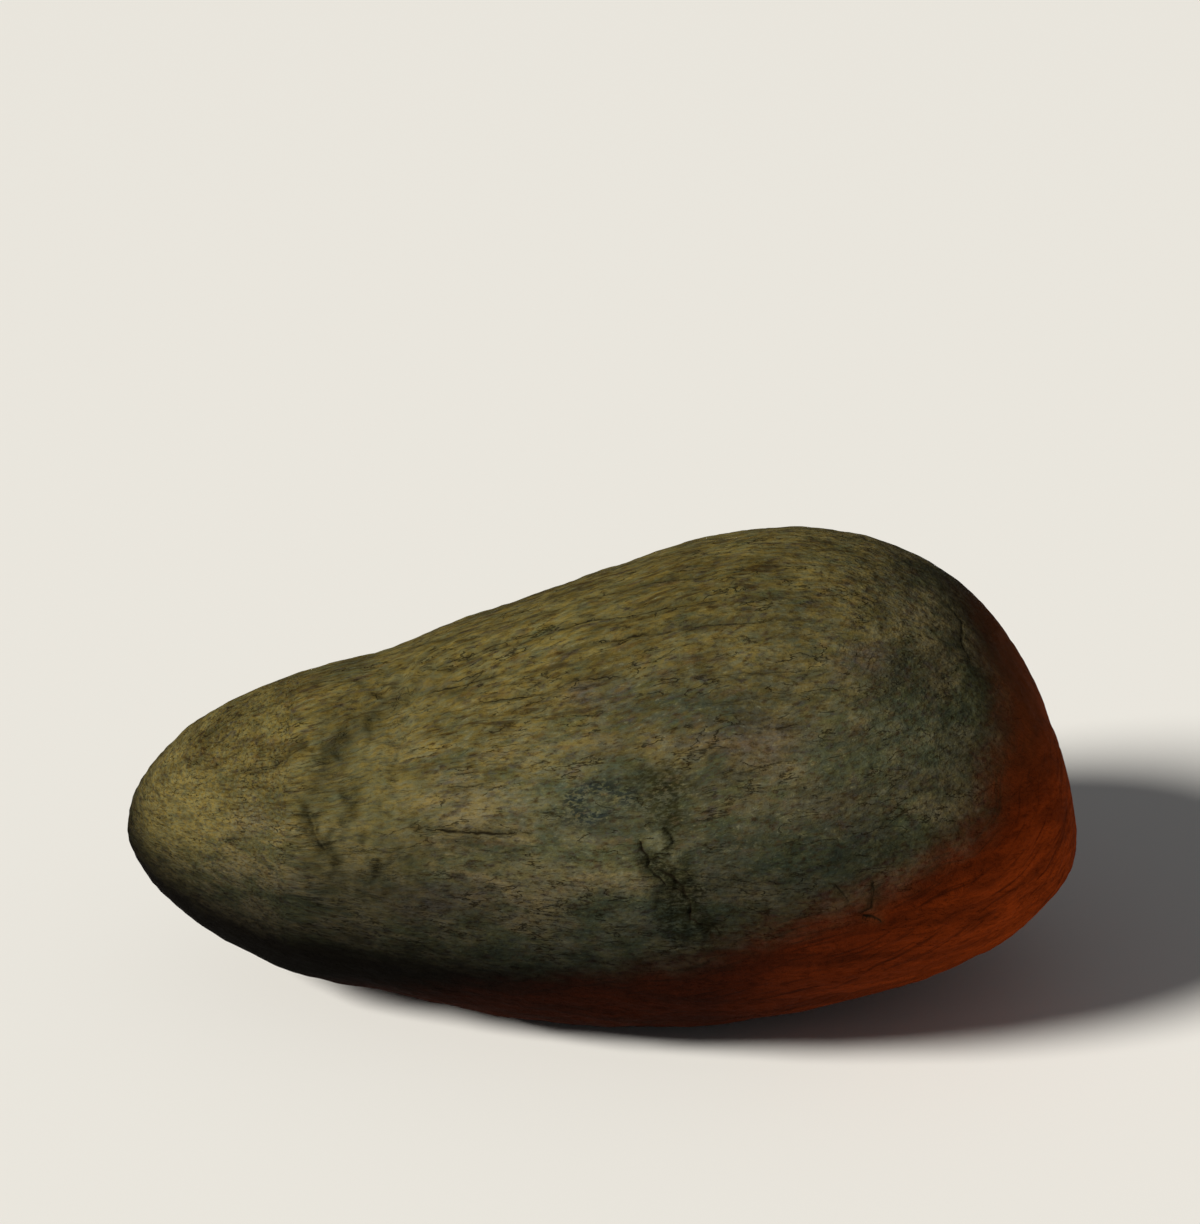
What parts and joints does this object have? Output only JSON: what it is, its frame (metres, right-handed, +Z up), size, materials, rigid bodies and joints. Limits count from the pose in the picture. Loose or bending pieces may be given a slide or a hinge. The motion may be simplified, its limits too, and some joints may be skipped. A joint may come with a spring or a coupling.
{
  "type": "boulder opal",
  "caption": "Smooth, water-worn pear-shaped stone with a shallow waist and fine cracks, lying on a flat worn underside.",
  "frame": {"origin": "under the middle of the stone's length and depth, on the surface that it rests on", "axes": "+X along the stone towards its big end, +Y to the back, +Z up"},
  "size_m": [0.2, 0.1234, 0.0944],
  "materials": {
    "stone": "matte"
  },
  "bodies": {
    "root": {"stone": "stone"}
  },
  "joints": []
}
